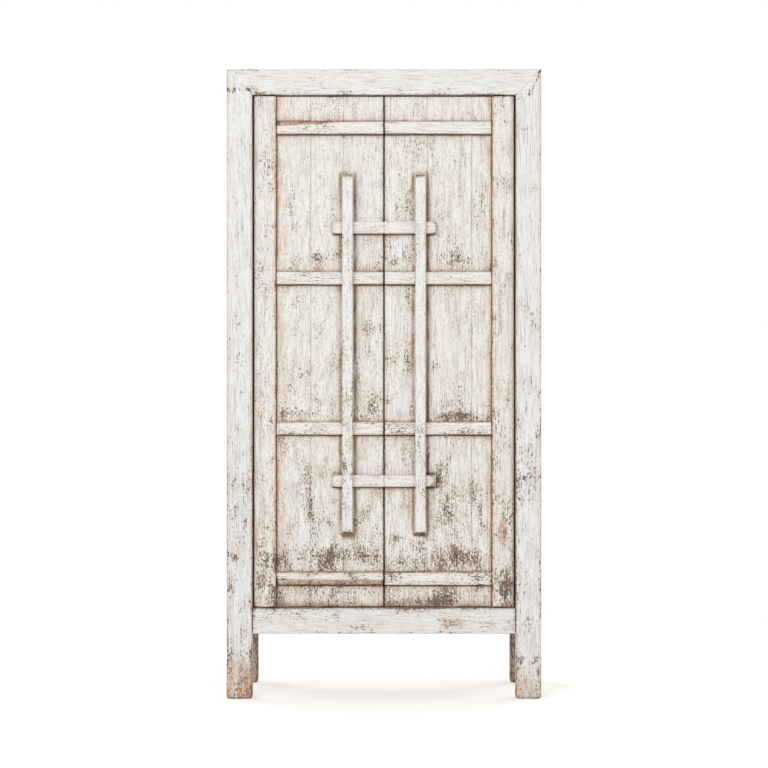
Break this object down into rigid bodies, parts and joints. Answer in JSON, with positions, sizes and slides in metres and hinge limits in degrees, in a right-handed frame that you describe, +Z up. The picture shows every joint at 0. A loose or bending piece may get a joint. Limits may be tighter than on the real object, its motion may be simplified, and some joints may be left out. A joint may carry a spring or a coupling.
{
  "type": "plank cabinet",
  "caption": "Tall whitewashed timber cabinet with paired plank doors on wooden pivots, cross battens, upright pull bars and sliding wooden bolts, on square legs.",
  "frame": {"origin": "on the floor under the middle of the bounding box, bars included", "axes": "+Z up; -Y is the front, where the doors are; +X is to the right seen from the front"},
  "size_m": [0.9, 0.474, 1.8],
  "materials": {
    "frame_paint": "worn matt white paint",
    "door_paint": "worn matt cream-white paint with brown glaze",
    "board_paint": "worn matt white paint",
    "bare_wood": "bare aged softwood",
    "screw_iron": "dull iron"
  },
  "bodies": {
    "carcass": {"back_board_1": "board_paint", "back_board_2": "board_paint", "back_board_3": "board_paint", "back_board_4": "board_paint", "bottom_rail_back": "frame_paint", "bottom_rail_front": "frame_paint", "bottom_rail_left": "frame_paint", "bottom_rail_right": "frame_paint", "door_stop_top": "bare_wood", "floor_board_back": "bare_wood", "floor_board_front": "bare_wood", "post_back_left": "frame_paint", "post_back_right": "frame_paint", "post_front_left": "frame_paint", "post_front_right": "frame_paint", "shelf_bearer_lower_left": "bare_wood", "shelf_bearer_lower_right": "bare_wood", "shelf_bearer_middle_left": "bare_wood", "shelf_bearer_middle_right": "bare_wood", "shelf_bearer_upper_left": "bare_wood", "shelf_bearer_upper_right": "bare_wood", "shelf_lower": "bare_wood", "shelf_middle": "bare_wood", "shelf_upper": "bare_wood", "side_board_left_1": "board_paint", "side_board_left_2": "board_paint", "side_board_right_1": "board_paint", "side_board_right_2": "board_paint", "top_board_back": "board_paint", "top_board_front": "board_paint", "top_rail_back": "frame_paint", "top_rail_front": "frame_paint", "top_rail_left": "frame_paint", "top_rail_right": "frame_paint"},
    "left_door": {"left_bar": "door_paint", "left_bar_screws": "screw_iron", "left_door_batten_1": "door_paint", "left_door_batten_2": "door_paint", "left_door_batten_3": "door_paint", "left_door_batten_4": "door_paint", "left_door_board_1": "door_paint", "left_door_board_2": "door_paint", "left_door_board_3": "door_paint", "left_door_stile": "door_paint"},
    "right_door": {"right_bar": "door_paint", "right_bar_screws": "screw_iron", "right_door_batten_1": "door_paint", "right_door_batten_2": "door_paint", "right_door_batten_3": "door_paint", "right_door_batten_4": "door_paint", "right_door_board_1": "door_paint", "right_door_board_2": "door_paint", "right_door_board_3": "door_paint", "right_door_stile": "door_paint"},
    "lower_bolt_left": {"lower_bolt_left": "door_paint"},
    "lower_bolt_right": {"lower_bolt_right": "door_paint"},
    "upper_bolt_left": {"upper_bolt_left": "door_paint"},
    "upper_bolt_right": {"upper_bolt_right": "door_paint"}
  },
  "joints": [
    {"name": "left_door_hinge", "type": "hinge", "parent": "carcass", "child": "left_door", "pos_m": [-0.356, -0.192, 0.263], "axis": [0, 0, -1], "range_deg": [0, 95]},
    {"name": "right_door_hinge", "type": "hinge", "parent": "carcass", "child": "right_door", "pos_m": [0.356, -0.192, 0.263], "axis": [0, 0, 1], "range_deg": [0, 95]},
    {"name": "upper_bolt_left_slide", "type": "slide", "parent": "left_door", "child": "upper_bolt_left", "axis": [-1, 0, 0], "range_m": [0, 0.08]},
    {"name": "lower_bolt_left_slide", "type": "slide", "parent": "left_door", "child": "lower_bolt_left", "axis": [-1, 0, 0], "range_m": [0, 0.08]},
    {"name": "upper_bolt_right_slide", "type": "slide", "parent": "right_door", "child": "upper_bolt_right", "axis": [1, 0, 0], "range_m": [0, 0.08]},
    {"name": "lower_bolt_right_slide", "type": "slide", "parent": "right_door", "child": "lower_bolt_right", "axis": [1, 0, 0], "range_m": [0, 0.08]}
  ]
}
